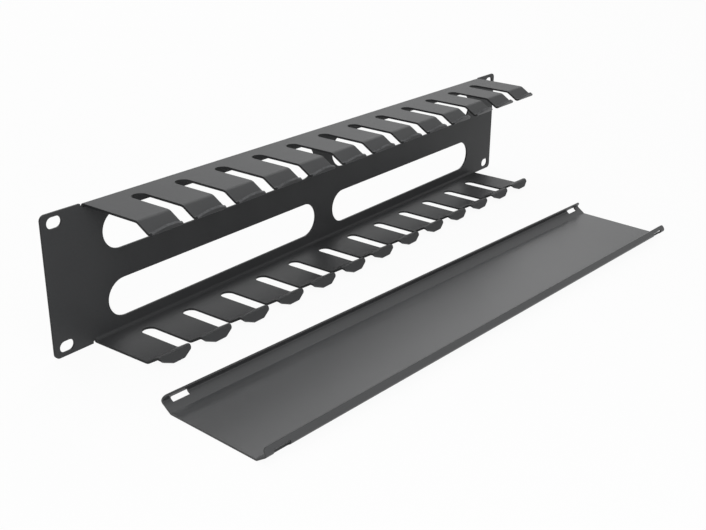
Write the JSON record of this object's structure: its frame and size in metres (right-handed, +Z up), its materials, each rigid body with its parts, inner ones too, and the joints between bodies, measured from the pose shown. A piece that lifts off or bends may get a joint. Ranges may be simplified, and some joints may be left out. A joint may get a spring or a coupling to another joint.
{
  "type": "horizontal cable manager",
  "caption": "Two-unit rack cable manager: a folded steel frame with finger combs above and below and open slots in its back plate, with its clip-on cover taken off in front.",
  "frame": {"origin": "centre of the four rack fixing slots, on the rear face of the back plate, which goes against the rack posts", "axes": "+X to the right along the rack width seen from the front, +Y to the rear into the rack, +Z up"},
  "size_m": [0.4906, 0.2032, 0.0882],
  "materials": {
    "powder_coat": "fine-textured satin black powder coat",
    "cover_powder_coat": "fine-textured satin black powder coat"
  },
  "bodies": {
    "root": {"frame": "powder_coat", "cover": "cover_powder_coat"}
  },
  "joints": []
}
